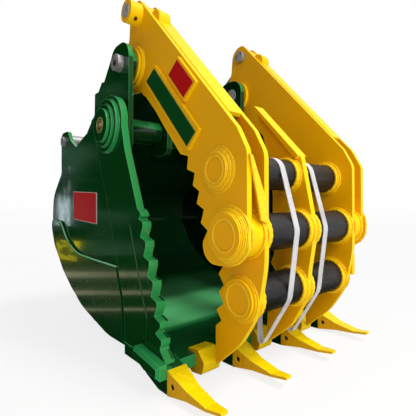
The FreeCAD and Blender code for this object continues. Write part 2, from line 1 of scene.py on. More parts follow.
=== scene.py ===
# %% [markdown]
# This is a claw bucket for an excavator: a green bucket with four teeth, and a yellow claw of two
# box arms and a middle tine that closes over its mouth. Two rams between them move the claw.
# The shapes could be modelled here once more, but they are already drawn as a CAD model with
# joints. So that model is loaded as a frame, which is neither moved nor reshaped. This lesson
# paints it, adds what is too small for the drawing, and lights it as a studio would.

# %% Load the frame
import bpy
import bmesh
import json
import math
from mathutils import Vector, Matrix, noise


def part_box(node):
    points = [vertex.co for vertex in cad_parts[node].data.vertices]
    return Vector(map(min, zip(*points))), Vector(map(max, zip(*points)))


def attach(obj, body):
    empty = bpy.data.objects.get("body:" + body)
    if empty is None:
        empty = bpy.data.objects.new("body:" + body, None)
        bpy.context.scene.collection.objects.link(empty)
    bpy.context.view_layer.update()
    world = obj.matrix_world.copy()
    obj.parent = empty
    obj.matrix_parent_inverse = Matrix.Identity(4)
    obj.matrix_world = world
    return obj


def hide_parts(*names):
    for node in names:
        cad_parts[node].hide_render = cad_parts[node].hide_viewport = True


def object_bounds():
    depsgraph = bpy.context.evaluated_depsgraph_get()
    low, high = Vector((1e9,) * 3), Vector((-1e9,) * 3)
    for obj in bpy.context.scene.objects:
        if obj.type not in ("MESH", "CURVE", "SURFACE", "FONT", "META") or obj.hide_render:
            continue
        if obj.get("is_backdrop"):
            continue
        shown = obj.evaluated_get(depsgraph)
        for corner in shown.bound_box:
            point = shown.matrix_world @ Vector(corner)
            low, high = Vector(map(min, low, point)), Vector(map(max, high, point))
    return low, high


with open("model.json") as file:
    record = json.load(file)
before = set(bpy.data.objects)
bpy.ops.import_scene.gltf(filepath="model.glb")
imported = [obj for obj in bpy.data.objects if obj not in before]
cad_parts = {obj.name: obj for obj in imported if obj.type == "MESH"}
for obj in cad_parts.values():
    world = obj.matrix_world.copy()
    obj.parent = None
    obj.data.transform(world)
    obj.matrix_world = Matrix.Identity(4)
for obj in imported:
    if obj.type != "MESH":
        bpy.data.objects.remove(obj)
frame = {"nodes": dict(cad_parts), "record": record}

nodes = frame["nodes"]
low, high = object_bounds()
print("nodes", len(nodes), "box", [round(v, 3) for v in (*low, *high)])

# %% [markdown]
# The drawing gives every outline from the claw's pivot, as (y, z) in millimetres, because the
# claw was measured from there. The frame's origin lies on the machine's arm pin. Each number
# could be turned over by hand. One small function is safer, since a place then reads the same
# here and in the drawing. Most pieces come in pairs, so the two sides are named once.

# %% Places shared with the drawing
PIVOT_Y, PIVOT_Z = -425, 215
GROUND = -1.180
SIDES = (("left", -1), ("right", 1))


def at(x, y, z):
    """A point given in millimetres from the claw's pivot, in the frame's metres."""
    return Vector((x, y + PIVOT_Y, z + PIVOT_Z)) / 1000


print("claw pivot at", [round(v, 3) for v in at(0, 0, 0)], "ground at", GROUND)

# %% [markdown]
# The camera stands where the photograph was taken: level, low, and left of the mouth. It could be
# set by eye in the viewport. Here its place, turn and lens were fitted to points that the
# photograph and the drawing share, which gives the right perspective as well as the right side.
# The shift is there because the picture's centre is a little off the lens axis.

# %% Camera
CAMERA_TURN = math.radians(-42.75)
camera = bpy.data.objects.new("camera", bpy.data.cameras.new("camera"))
bpy.context.collection.objects.link(camera)
camera.location = (-1.230, -2.002, -0.462)
camera.rotation_euler = (math.radians(90 - 0.08), 0, CAMERA_TURN)
camera.data.lens = 29.51
camera.data.sensor_width = 36
camera.data.shift_x = -0.050
camera.data.shift_y = -0.0108
camera.data.clip_start = 0.05
bpy.context.scene.camera = camera
bpy.context.scene.view_settings.view_transform = "Standard"
print("camera at", [round(v, 3) for v in camera.location], "lens", round(camera.data.lens, 2))

# %% [markdown]
# A finish is a small sum: so much grey where one noise is high and an edge is near. Drawn by
# hand, each plus and times is a Math node with its links. Here a `Value` wraps one socket, and the
# usual signs lay those nodes down, so a finish reads as arithmetic. The reflected forms, such as
# `__rsub__`, are for sums that begin with a plain number, as in `1 - mask`.


# %% A number that varies over a surface
class Value:
    def __init__(self, graph, socket):
        self.graph = graph
        self.socket = socket

    def math(self, operation, *others, clamp=False):
        return self.graph.sums(operation, self, *others, clamp=clamp)

    def __add__(self, other):
        return self.math("ADD", other)

    def __sub__(self, other):
        return self.math("SUBTRACT", other)

    def __rsub__(self, other):
        return self.graph.sums("SUBTRACT", other, self)

    def __mul__(self, other):
        return self.math("MULTIPLY", other)

    __radd__ = __add__
    __rmul__ = __mul__

    def ramp(self, start, end):
        """0 below start, 1 above end, smooth between."""
        return self.graph.node("ShaderNodeMapRange", {"interpolation_type": "SMOOTHSTEP"},
                               {"Value": self, "From Min": start, "From Max": end})["Result"]


print("signs that lay down nodes:", "+", "-", "*")

# %% [markdown]
# Materials and the world are both trees of nodes. Every node in this file comes from the one
# method `node`, which takes its type, its settings and its inputs. That is less to read than
# five lines for each node, and a setting that changes the sockets is always made first.


# %% A tree of nodes
class Graph:
    def __init__(self, tree):
        self.tree = tree

    def feed(self, socket, item):
        """Links a Value to a socket, or sets the socket to a plain number, colour or vector."""
        if isinstance(item, Value):
            self.tree.links.new(item.socket, socket)
        else:
            socket.default_value = item

    def node(self, kind, settings=None, inputs=None):
        """Any node: its settings, then its inputs by name or number; gives its outputs."""
        node = self.tree.nodes.new(kind)
        for name, setting in (settings or {}).items():
            setattr(node, name, setting)
        for name, item in (inputs or {}).items():
            self.feed(node.inputs[name], item)
        return {item.name: Value(self, item) for item in node.outputs if item.enabled}

    def sums(self, operation, *items, clamp=False):
        return self.node("ShaderNodeMath", {"operation": operation, "use_clamp": clamp},
                         dict(enumerate(items)))["Value"]

    def vector(self, operation, one, two):
        """Vector Math, which gives one vector, or one number for a product or a distance."""
        outputs = self.node("ShaderNodeVectorMath", {"operation": operation}, {0: one, 1: two})
        [result] = outputs.values()
        return result

    def mix(self, first, second, amount):
        """Colour first turning into second."""
        return self.node("ShaderNodeMix", {"data_type": "RGBA"},
                         {0: amount, 6: first, 7: second})["Result"]


def rgba(*colour):
    return (*colour, 1.0)


print("tree helpers:", [name for name in vars(Graph) if not name.startswith("_")])

# %% [markdown]
# A recipe is one material round a Principled shader, Blender's all-round surface. Noise is laid
# out in object coordinates, because these pieces have no unwrapped surface, and because it then
# runs on unbroken from plate to plate. A bump can start from the rounded normal of a Bevel node,
# so that even a sharp drawn edge catches a thin line of light.


# %% A material
class Recipe(Graph):
    def __init__(self, name):
        self.material = bpy.data.materials.new(name)
        self.material.use_nodes = True
        super().__init__(self.material.node_tree)
        self.shader = self.tree.nodes["Principled BSDF"]
        self.place = self.node("ShaderNodeTexCoord")["Object"]

    def noise(self, scale, detail=3, rough=0.5, stretch=None):
        place = self.place
        if stretch:
            place = self.node("ShaderNodeMapping", None, {"Vector": place, "Scale": stretch})["Vector"]
        return self.node("ShaderNodeTexNoise", None, {"Vector": place, "Scale": scale, "Detail": detail,
                                                      "Roughness": rough})["Fac"]

    def rounded(self, radius):
        """The normal that a face would have if its edges had this radius."""
        return self.node("ShaderNodeBevel", {"samples": 4}, {"Radius": radius})["Normal"]

    def bump(self, height, distance, strength=1.0, soften=None):
        inputs = {"Height": height, "Distance": distance, "Strength": strength}
        if soften:
            inputs["Normal"] = self.rounded(soften)
        self.feed(self.shader.inputs["Normal"], self.node("ShaderNodeBump", None, inputs)["Normal"])

    def set(self, **inputs):
        """Sets sockets of the shader by name, with _ for a space, and gives the material."""
        for name, item in inputs.items():
            self.feed(self.shader.inputs[name.replace("_", " ")], item)
        return self.material


print("recipe helpers:", [name for name in vars(Recipe) if not name.startswith("_")])

# %% [markdown]
# Every edge gets a pale rim: partly paint rubbed thin by stones and boots, partly a painted highlight.
# That rim could be painted by hand on an image. Here the shape itself tells where it goes: on an
# edge the rounded normal leans away from the flat one. It costs a Bevel node for each material,
# and in return every edge has its rim, also on pieces that are changed later.


# %% Rubbed edges and painted highlights
EDGE_LEAN = (0.005, 0.10)


def edges(recipe, radius):
    """0 on flat faces and near 1 on edges."""
    flat = recipe.node("ShaderNodeNewGeometry")["Normal"]
    lean = 1 - recipe.vector("DOT_PRODUCT", recipe.rounded(radius), flat)
    return lean.ramp(*EDGE_LEAN)


print("edges from a lean of", EDGE_LEAN[0], "to", EDGE_LEAN[1])

# %% [markdown]
# Inside the bucket, light and shade are painted into the green. High up, near the mouth and at
# the back its inner faces are painted dark as shade, and low on the floor a pool of light is painted
# bright.
# The inner faces could have a material of their own, but the shell and the side plates are drawn
# as whole pieces. So the shader decides: a face is an inner one where it looks towards the
# bucket's middle, up to the inner faces of the side plates.

# %% Painted light and shade inside the bucket
BUCKET_MIDDLE = tuple(at(0, -150, -800))
PAINTED_FLOOR_LIGHT = rgba(0.16, 0.72, 0.27)
PAINTED_INSIDE_SHADE = rgba(0.0006, 0.014, 0.002)


# Paints shade over the inner faces and a pool of light on the floor.
def paint_light_and_shade_inside(recipe, colour):
    face = recipe.node("ShaderNodeNewGeometry")
    to_middle = recipe.vector("SUBTRACT", BUCKET_MIDDLE, face["Position"])
    inside = recipe.vector("DOT_PRODUCT", to_middle, face["Normal"]).ramp(0.0, 0.08)
    split = recipe.node("ShaderNodeSeparateXYZ", None, {"Vector": face["Position"]})
    across, back, height = split["X"].math("ABSOLUTE"), split["Y"], split["Z"]
    inside = inside * (1 - across.ramp(0.5110, 0.5125))
    near_mouth = 0.8 * (1 - back.ramp(-0.62, -0.55))
    far_back = 0.85 * back.ramp(-0.26, -0.14)
    # Painted shade: high up, near the mouth and at the back.
    dark = inside * height.ramp(-1.10, -0.96).math("MAXIMUM", near_mouth).math("MAXIMUM", far_back)
    # Painted light: a sunlit patch low on the floor, away from the mouth.
    bright = inside * (1 - height.ramp(-1.03, -0.98)) * back.ramp(-0.57, -0.52)
    colour = recipe.mix(colour, PAINTED_FLOOR_LIGHT, bright * 0.85)
    return recipe.mix(colour, PAINTED_INSIDE_SHADE, dark * 0.90)


print("bucket's middle at", [round(v, 3) for v in BUCKET_MIDDLE])

# %% [markdown]
# Machine paint is a gloss coat over steel. Close up it has a slight orange peel, a drift in
# shade where coats overlap, and the pale rim. The broad plates that look across the bucket are
# painted deeper than fronts and tops, as painted shade, so a paint has a base colour, a side
# colour that is painted shade, and a rim colour. Photographs of real paint would give this too, but
# only noise keeps it sharp at any distance. One function serves all paints, so that they look like one
# job.


# %% How a paint is made
def paint(name, base, side, rim, rough, peel=0.0005, coat=0.3, spots=0.0, spot_colour=None,
          shine=0.35, painted_inside_light=False):
    recipe = Recipe(name)
    drift = recipe.noise(2.3, 4).ramp(0.35, 0.75)
    flat = recipe.node("ShaderNodeNewGeometry")["Normal"]
    across = recipe.node("ShaderNodeSeparateXYZ", None, {"Vector": flat})["X"].math("ABSOLUTE")
    # Faces that look across take the side colour, which is painted shade.
    colour = recipe.mix(rgba(*base), rgba(*side), across.ramp(0.80, 0.96))
    colour = recipe.mix(colour, rgba(*(0.86 * part for part in side)), drift * 0.5 * across)
    if painted_inside_light:
        colour = paint_light_and_shade_inside(recipe, colour)
    # A pale rim on edges: partly rubbed paint, partly a painted highlight.
    worn_and_lit_edge = edges(recipe, 0.004) * 0.8 * (0.5 + 0.8 * recipe.noise(14, 4))
    colour = recipe.mix(colour, rgba(*rim), worn_and_lit_edge)
    if spots:
        marks = recipe.noise(120, 4, 0.7).ramp(0.63, 0.70) * recipe.noise(6, 4).ramp(0.48, 0.62)
        colour = recipe.mix(colour, rgba(*spot_colour), marks * spots)
    skin = recipe.noise(26, 2) if peel < 0.002 else recipe.noise(45, 3)
    recipe.bump(skin, peel, soften=0.002)
    fine = recipe.noise(38, 5, 0.6).ramp(0.4, 0.8)
    return recipe.set(Base_Color=colour, Roughness=rough + 0.10 * fine, Coat_Weight=coat,
                      Coat_Roughness=0.03, Specular_IOR_Level=shine)


print("a paint takes a base, a side and a rim colour")

# %% [markdown]
# The bucket wears three greens. Most of it is a bright, glossy green that turns deep on the side
# plates, which is painted shade. The wear plates low on the cheeks and the beads round the side bars
# take that painted shade all over, and the bead along a cheek plate's top edge is painted pale, as a
# painted highlight. One green with a mask could do it, but three named materials are easier to find and
# to change.

# %% Green paints
# The side colour is painted shade, for faces that look across.
SHADED_SIDE_GREEN = (0.0012, 0.042, 0.005)
# This green also carries the painted light and shade of the bucket's inside.
GREEN = paint("green_paint", (0.028, 0.33, 0.085), SHADED_SIDE_GREEN, (0.12, 0.58, 0.22), 0.10,
              peel=0.0002, shine=0.22, painted_inside_light=True)
# Painted shade all over: the same deep green on every face.
SHADE_GREEN = paint("green_painted_shade", (0.0012, 0.050, 0.008), SHADED_SIDE_GREEN, (0.01, 0.12, 0.03), 0.2,
             peel=0.0002, shine=0.22)
# A painted highlight: this pale green stands for sky light on the cheek beads.
HIGHLIGHT_GREEN = paint("green_painted_highlight", (0.28, 0.72, 0.38), (0.24, 0.66, 0.33), (0.34, 0.78, 0.44), 0.35)
print("greens", GREEN.name, SHADE_GREEN.name, HIGHLIGHT_GREEN.name)

# %% [markdown]
# The claw's yellow is flatter than the green, with hardly any coat over it, and it turns to amber
# on the sides, which is painted shade. Teeth and shrouds are cast, so theirs is rougher, with brown
# specks in the pits of the casting. The weld beads are rougher still. The same recipe makes all
# three: a deeper bump stands for the coarse skin, and more spots for the specks.

# %% Yellow paints
# The side colour of each yellow is painted shade.
YELLOW = paint("yellow_paint", (1.0, 0.64, 0.0), (0.86, 0.41, 0.0), (1.0, 0.80, 0.02), 0.42,
               coat=0.03, spots=0.5, spot_colour=(0.50, 0.24, 0.0), shine=0.12)
CAST = paint("yellow_cast", (1.0, 0.72, 0.0), (0.74, 0.38, 0.0), (1.0, 0.86, 0.08), 0.42,
             peel=0.005, coat=0.03, spots=1.0, spot_colour=(0.30, 0.15, 0.01), shine=0.15)
WELD = paint("yellow_weld", (1.0, 0.66, 0.0), (0.88, 0.46, 0.0), (1.0, 0.84, 0.10), 0.34,
             peel=0.006, coat=0.1, spots=1.0, spot_colour=(0.30, 0.14, 0.0), shine=0.3)
print("yellows", YELLOW.name, CAST.name, WELD.name)

# %% [markdown]
# Three bare sheets are fixed to the claw's left arm and the bucket's left side, two red and one
# dark green. They are flat coloured sheet, so they take the paint recipe with little gloss, and
# with it the painted shade of faces that look across.

# %% Sheet colours
RED = paint("red_plate", (0.50, 0.0, 0.003), (0.46, 0.0, 0.002), (0.6, 0.03, 0.03), 0.35,
            coat=0.05, shine=0.12)
PLATE_GREEN = paint("green_plate", (0.003, 0.10, 0.02), (0.001, 0.055, 0.008), (0.02, 0.25, 0.08),
                    0.35, coat=0.05, shine=0.12)
print("sheets", RED.name, PLATE_GREEN.name)

# %% [markdown]
# The three cross tubes are black and scuffed. Handling rubs a tube along its length, so the
# scuffs are a noise stretched along X, with pale specks where a streak is strongest. A painted
# image would need an unwrapped tube, and the stretched noise needs nothing.


# %% Black tubes
def tube_black():
    recipe = Recipe("black_tube")
    streak = recipe.noise(9, 6, 0.7, (1.2, 9, 9))
    specks = recipe.noise(70, 4, 0.7)
    colour = recipe.mix(rgba(0.006, 0.006, 0.007), rgba(0.030, 0.030, 0.031), streak.ramp(0.45, 0.75))
    scuffs = specks.ramp(0.62, 0.72) * streak.ramp(0.5, 0.7)
    colour = recipe.mix(colour, rgba(0.20, 0.20, 0.20), scuffs * 0.5)
    recipe.bump(specks, 0.0012, 0.6)
    return recipe.set(Base_Color=colour, Roughness=0.38 + 0.2 * streak, Specular_IOR_Level=0.35)


BLACK = tube_black()
print("tubes", BLACK.name)

# %% [markdown]
# Pins, plugs and brass rings are bare metal that has grown dull. Sliding wear leaves fine lines
# along a pin, so the noise is squeezed in Y and Z and runs on along X. The shader is only partly
# metallic: pure metal shows nothing but what stands round it, and goes black where that is dark.


# %% Bare metal
def bare_metal(name, tone, rough, metallic, tint=(1.0, 1.0, 1.02), dull=(0.55, 0.53, 0.5)):
    recipe = Recipe(name)
    lines = recipe.noise(60, 5, 0.6, (1, 6, 6))
    colour = recipe.mix(rgba(*(tone * part for part in tint)), rgba(*(tone * part for part in dull)),
                        recipe.noise(22, 5).ramp(0.42, 0.62))
    recipe.bump(lines, 0.0006, 0.5, soften=0.0015)
    return recipe.set(Base_Color=colour, Metallic=metallic, Roughness=rough + 0.15 * lines)


PIN = bare_metal("pin_steel", 0.42, 0.42, 0.45)
BRASS = bare_metal("brass_mark", 0.8, 0.35, 0.6, (0.95, 0.75, 0.30), (0.55, 0.38, 0.12))
RUST = bare_metal("grease_point", 0.10, 0.5, 0.3, (1.0, 0.25, 0.15), (0.3, 0.1, 0.1))
print("bare metals", PIN.name, BRASS.name, RUST.name)

# %% [markdown]
# A ram is a black barrel with a chromed rod. The rod's forged eye sits in the claw and was
# sprayed yellow with it. Rod and eye are one piece in the drawing. Two materials on one mesh would
# mean picking faces, so the shader measures how far a point lies from the eye's pin and turns
# from paint to chrome there.

# %% Rams
ROD_PIN = tuple(at(0, -37, 248))
EYE_REACH = (0.150, 0.156)


def ram_rod():
    recipe = Recipe("rod_chrome")
    in_side_view = recipe.vector("MULTIPLY", recipe.place, (0, 1, 1))
    rod = recipe.vector("DISTANCE", in_side_view, ROD_PIN).ramp(*EYE_REACH)
    colour = recipe.mix(rgba(1.0, 0.58, 0.0), rgba(0.66, 0.67, 0.69), rod)
    recipe.bump(recipe.noise(38, 5, 0.6), 0.0005, soften=0.002)
    return recipe.set(Base_Color=colour, Metallic=rod, Roughness=0.42 - 0.30 * rod,
                      Specular_IOR_Level=0.2)


RAM = paint("ram_black", (0.012, 0.012, 0.013), (0.014, 0.014, 0.015), (0.06, 0.06, 0.06), 0.30)
CHROME = ram_rod()
print("rams", RAM.name, CHROME.name)

# %% [markdown]
# Two white straps lash the claw for transport. They are woven: twill ribs across a flat weave,
# slightly soiled. Modelled threads would be far too heavy, and a fine wave pattern that both
# darkens the gaps, as painted shade, and lifts the ribs gives the same at this distance.


# %% Strap webbing
def webbing():
    recipe = Recipe("strap_web")
    weave = recipe.node("ShaderNodeTexWave", {"bands_direction": "Z"},
                        {"Vector": recipe.place, "Scale": 130.0, "Distortion": 0.6,
                         "Detail": 1.0})["Fac"]
    grain = recipe.noise(240, 3)
    soil = recipe.noise(9, 4).ramp(0.45, 0.75)
    colour = recipe.mix(rgba(0.84, 0.84, 0.86), rgba(0.60, 0.60, 0.61), soil)
    # Painted shade in the gaps of the weave.
    colour = recipe.mix(colour, rgba(0.46, 0.46, 0.48), (1 - weave) * 0.30)
    recipe.bump(weave + 0.5 * grain, 0.0012)
    return recipe.set(Base_Color=colour, Roughness=0.75 + 0.1 * grain)


WEB = webbing()
print("webbing", WEB.name)

# %% [markdown]
# Each piece of the frame is recorded with the slot of its material, so one table gives all of
# them their finish. The cheek wear plates are the one exception: they share the green slot and
# take the deep green, which is painted shade.

# %% Paint the frame
PAINTS = {"green_paint": GREEN, "yellow_paint": YELLOW, "yellow_cast": CAST, "black_tube": BLACK,
          "pin_steel": PIN, "rod_chrome": CHROME, "ram_black": RAM, "strap_web": WEB}
for part in frame["record"]["subparts"]:
    piece = nodes[part["node"]]
    piece.data.materials.clear()
    # Cheek wear plates take the painted shade green.
    piece.data.materials.append(SHADE_GREEN if "cheek" in part["node"] else PAINTS[part["material_slot"]])

# %% [markdown]
# Small pieces now come on top. Each is parented to an empty named for the body that it is welded
# to, and each gets its own material. Primitives could be added and scaled by hand. A mesh that is
# built in memory from the drawing's numbers is exact, and leaves no scaled object behind.

# %% Add a piece
BUCKET, CLAW = "bucket", "claw"
made = []


def from_bmesh(name, build):
    """An object whose mesh the function build makes."""
    mesh = bpy.data.meshes.new(name)
    shape = bmesh.new()
    build(shape)
    bmesh.ops.recalc_face_normals(shape, faces=shape.faces)
    shape.to_mesh(mesh)
    shape.free()
    piece = bpy.data.objects.new(name, mesh)
    bpy.context.collection.objects.link(piece)
    return piece


def keep(piece, body, material):
    piece.data.materials.clear()
    piece.data.materials.append(material)
    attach(piece, body)
    made.append(piece)
    return piece


def band(shape, one, two):
    """Four-sided faces between two closed loops of points."""
    count = len(one)
    for k in range(count):
        shape.faces.new((one[k], one[(k + 1) % count], two[(k + 1) % count], two[k]))


def circle(spot, radius, count):
    """(y, z) of evenly spaced points of a circle, in millimetres."""
    turns = [k * math.tau / count for k in range(count)]
    return [(spot[0] + radius * math.cos(a), spot[1] + radius * math.sin(a)) for a in turns]


def smooth(piece):
    for face in piece.data.polygons:
        face.use_smooth = True


print("bodies that the added pieces ride on:", BUCKET, CLAW)

# %% [markdown]
# A weld bead is a round string of metal along a seam, with the ripples that the torch leaves. A
# curve with a round bevel would give a string, but an even one. Here rings of eight points are
# set along the seam, and each is a little thicker or thinner than the last, by a sine for the
# ripples and a noise for the hand.

# %% A weld bead
AROUND = 8
STEP = 0.006


def spaced(points, closed):
    """Points along a run of straight stretches, evenly spaced."""
    run = list(points) + ([points[0]] if closed else [])
    out = []
    for first, last in zip(run, run[1:]):
        count = max(1, round((last - first).length / STEP))
        out += [first.lerp(last, i / count) for i in range(count)]
    if not closed:
        out.append(run[-1])
    return out


def bead(shape, points, radius, closed):
    path = spaced(points, closed)
    rings = []
    count = len(path)
    for i, spot in enumerate(path):
        before = path[i - 1] if i or closed else spot
        after = path[(i + 1) % count] if i + 1 < count or closed else spot
        along = (after - before).normalized()
        side = along.orthogonal().normalized()
        lift = along.cross(side)
        swell = radius * (1 + 0.16 * math.sin(i * 2.1) + 0.10 * noise.noise(spot * 60))
        rings.append([shape.verts.new(spot + (side * math.cos(a) + lift * math.sin(a)) * swell)
                      for a in (k * math.tau / AROUND for k in range(AROUND))])
    half = AROUND // 2
    for i in range(count if closed else count - 1):
        one, two = rings[i], rings[(i + 1) % count]
        if (one[0].co - two[0].co).length > (one[0].co - two[half].co).length:
            two = two[half:] + two[:half]
        band(shape, one, two)


print("a ring of", AROUND, "points every", STEP * 1000, "mm")

# %% [markdown]
# All beads of one side are one piece, since nobody would take a single bead off. A seam is a
# circle round a tube or an open run of points, with the bead's thickness. The beads stay behind
# the front of the frame's box: a bead may round off a corner, but it never makes the part longer.

# %% Seams
FRONT = low[1] + 0.0004


def round_seam(x, spot, radius, thick):
    """A circle about a line across the bucket, at x; all in millimetres."""
    return [at(x, *p) for p in circle(spot, radius, 72)], thick / 1000, True


def open_seam(x, points, thick):
    return [at(x, *p) for p in points], thick / 1000, False


def welds(name, body, material, seams):
    def build(shape):
        for points, radius, closed in seams:
            bead(shape, points, radius, closed)
        for vert in shape.verts:
            vert.co.y = max(vert.co.y, FRONT)
    piece = from_bmesh(name, build)
    smooth(piece)
    print(name, "beads", len(seams), "faces", len(piece.data.polygons))
    return keep(piece, body, material)


# %% [markdown]
# Along the mouth, a thick bar is welded to each side plate, and the toothed cutter to the bar.
# Both seams run down the rear edges of those plates, on the face that they stand on, and take
# the deep green, which is painted shade.

# %% Welds of the side bars
SIDE_PLATE_FACE, BAR_FACE = 530, 542
BAR_REAR = [(160, -350), (150, -430), (47, -648), (-11, -789), (-55, -905), (-108, -1039),
            (-139, -1110), (-149, -1290)]
CUTTER_REAR = [(-268, -702), (-200, -771), (-245, -885), (-289, -1008), (-348, -1141), (-339, -1278)]
for side, sign in SIDES:
    # These beads take the painted shade green.
    welds(side + "_bar_welds", BUCKET, SHADE_GREEN,
          [open_seam(sign * SIDE_PLATE_FACE, BAR_REAR, 4), open_seam(sign * BAR_FACE, CUTTER_REAR, 3)])

# %% [markdown]
# The wear plate on a cheek has a bead along the whole of its top edge. In the light it is the
# palest line on the bucket's side, so it takes a pale green that is a painted highlight.

# %% Welds of the cheeks
CHEEK_FACE = 540
ABOVE_EDGE = 4
CHEEK_TOP = [(890, -796), (755, -803), (725, -822), (655, -885), (590, -925), (525, -948),
             (460, -965), (406, -971), (211, -975), (-70, -976)]
for side, sign in SIDES:
    top = [(y, z + ABOVE_EDGE) for y, z in CHEEK_TOP]
    welds(side + "_cheek_weld", BUCKET, HIGHLIGHT_GREEN, [open_seam(sign * CHEEK_FACE, top, 4.5)])

# %% [markdown]
# A stepped cap closes each end of the torque tube, with a bead round its foot and one round its
# first step. A short bead lies far below, where the side bar's foot stands on the lip. They are
# circles and a straight run, so only their radii and ends are given.

# %% Welds of the torque tube
TORQUE = (25, -308)
CAP_FOOT, CAP_STEP = 543, 560
LIP_TOP = [(-150, -1296), (-330, -1296)]
for side, sign in SIDES:
    welds(side + "_bucket_welds", BUCKET, GREEN,
          [round_seam(sign * CAP_FOOT, TORQUE, 125, 5), round_seam(sign * CAP_STEP, TORQUE, 101, 3.5),
           open_seam(sign * (BAR_FACE - 1), LIP_TOP, 5)])

# %% [markdown]
# On the claw, the three cross tubes pass through the box arms. Outside, each tube ends in a
# stepped cap with a bead at every step. Inside, a collar holds the tube to the inner plate. The
# beads are thick and rough, and they make much of the claw's look. A table of plate faces and
# radii keeps their places together, and the right arm uses it mirrored.

# %% Welds of the box arms
UPPER, MIDDLE, LOWER, PIVOT = (-640, -556), (-700, -790), (-668, -1036), (0, 0)
COLLAR_END, INNER_PLATE, BOX_INNER, BOX_OUTER, OUTER_PLATE = 284, 303, 327, 391, 415
UPPER_CAP, MIDDLE_CAP, LOWER_CAP = (423, 431, 436), (426, 437, 445), 346
# Each row: the face across the arm, the tube, the radius of the seam, the thickness of the bead.
ARM_SEAMS = [
    (OUTER_PLATE, UPPER, 83, 5), (OUTER_PLATE, MIDDLE, 101, 6),
    (UPPER_CAP[0], UPPER, 73, 4), (MIDDLE_CAP[0], MIDDLE, 91, 5),
    (UPPER_CAP[1], UPPER, 64, 3), (MIDDLE_CAP[1], MIDDLE, 82, 4),
    (UPPER_CAP[2], UPPER, 49, 4), (MIDDLE_CAP[2], MIDDLE, 57, 4),
    (BOX_INNER, LOWER, 87, 5), (LOWER_CAP, LOWER, 59, 3.5),
    (OUTER_PLATE, PIVOT, 100, 4),
    (COLLAR_END, UPPER, 71, 7), (COLLAR_END, MIDDLE, 79, 7), (COLLAR_END, LOWER, 79, 7),
    (BOX_OUTER, MIDDLE, 88, 6),
    (INNER_PLATE, UPPER, 80, 6), (INNER_PLATE, MIDDLE, 87, 5), (INNER_PLATE, LOWER, 87, 5),
    (BOX_INNER, MIDDLE, 88, 6)]
for side, sign in SIDES:
    welds(side + "_claw_welds", CLAW, WELD,
          [round_seam(sign * x, *rest) for x, *rest in ARM_SEAMS])

# %% [markdown]
# The middle tine sits on all three tubes, with a collar on each side of it. A bead joins every
# collar to the tine, and another joins it to the tube.

# %% Welds of the tine
TINE_FACE, TINE_COLLAR = 15, 34
seams = []
for _, sign in SIDES:
    for tube, radius in ((UPPER, 66), (MIDDLE, 74), (LOWER, 74)):
        seams += [round_seam(sign * TINE_FACE, tube, radius + 12, 6),
                  round_seam(sign * TINE_COLLAR, tube, radius + 5, 7)]
welds("tine_welds", CLAW, WELD, seams)

# %% [markdown]
# The bare sheets are 3 or 4 mm thick and lie on pads of the plates behind them. The one on the
# bucket has a pale rim, which is a second, slightly larger and thinner sheet under the first.
# Planes would be simpler, but a sheet with real thickness and an eased edge catches the light
# along its border.


# %% Bare sheets
def sheet(name, x, corners, thick, grow=0.0):
    """A flat piece on a face that looks along X. The corners go round in order."""
    outward = Vector((math.copysign(thick, x), 0, 0))
    middle = sum((at(x, *p) for p in corners), Vector()) / len(corners)

    def build(shape):
        back = [shape.verts.new(at(x, *p) + (at(x, *p) - middle).normalized() * grow) for p in corners]
        front = [shape.verts.new(vert.co + outward) for vert in back]
        shape.faces.new(back)
        shape.faces.new(front)
        band(shape, back, front)
    return from_bmesh(name, build)


def ease(piece, width):
    """Rounds the edges with a modifier, so the mesh keeps its few points."""
    bevel = piece.modifiers.new("bevel", "BEVEL")
    bevel.width = width
    bevel.segments = 2


ARM_FACE = -428
LONG_CORNERS = [(-212, -67), (-520, -401), (-463, -451), (-143, -109)]
SHORT_CORNERS = [(-395, -84), (-505, -205), (-439, -250), (-330, -130)]
SIDE_CORNERS = [(536, -611), (194, -625), (194, -784), (527, -771)]
for name, x, corners, thick, width, body, material in (
        ("arm_plate_long", ARM_FACE, LONG_CORNERS, 0.003, 0.0012, CLAW, PLATE_GREEN),
        ("arm_plate_short", ARM_FACE, SHORT_CORNERS, 0.003, 0.0012, CLAW, RED),
        ("side_plate_mark", -SIDE_PLATE_FACE, SIDE_CORNERS, 0.004, 0.0015, BUCKET, RED)):
    piece = sheet(name, x, corners, thick)
    ease(piece, width)
    keep(piece, body, material)
    print(name, "sheet", thick * 1000, "mm")
rim = sheet("side_plate_mark_rim", -SIDE_PLATE_FACE, SIDE_CORNERS, 0.0024, grow=0.006)
keep(rim, BUCKET, WEB)

# %% [markdown]
# A slanting plate closes the front of the left box arm. The drawing has it between the arm's two
# plates. On the real claw it lies on their front edges, rough with weld, and it shows, so this
# piece takes its place. It is a solid between two outlines, the shape that a cut plate has.


# %% The front brace
def block(name, outlines, width, body, material):
    """A solid between two outlines, given corner by corner in millimetres, with eased edges."""
    def build(shape):
        back, front = [[shape.verts.new(at(*corner)) for corner in outline] for outline in outlines]
        shape.faces.new(back)
        shape.faces.new(front)
        band(shape, back, front)
    piece = from_bmesh(name, build)
    ease(piece, width)
    print(name, "of", len(outlines[0]), "corners")
    return keep(piece, body, material)


BRACE = [(-410, -511), (-394, -515), (-314, -690), (-317, -750), (-352, -738)]
brace = block("front_brace_strip", [[(x, y, z) for x, z in BRACE] for y in (-783, -794)],
              0.003, CLAW, WELD)
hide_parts("left_front_brace")

# %% [markdown]
# A round bar closes the top of each box arm, across the gap between its plates. The end of each
# pivot pin has a small rusty plug. Both are discs: a circle drawn at two places along X, with
# smooth walls and flat ends. A cylinder from the Add menu would have to be turned and placed.


# %% Cover bars and pivot plugs
def disc(name, x0, x1, spot, radius, width, body, material, count=40):
    outline = circle(spot, radius, count)
    piece = block(name, [[(x, *p) for p in outline] for x in (x0, x1)], width, body, material)
    for face in piece.data.polygons:
        face.use_smooth = len(face.vertices) == 4
    return piece


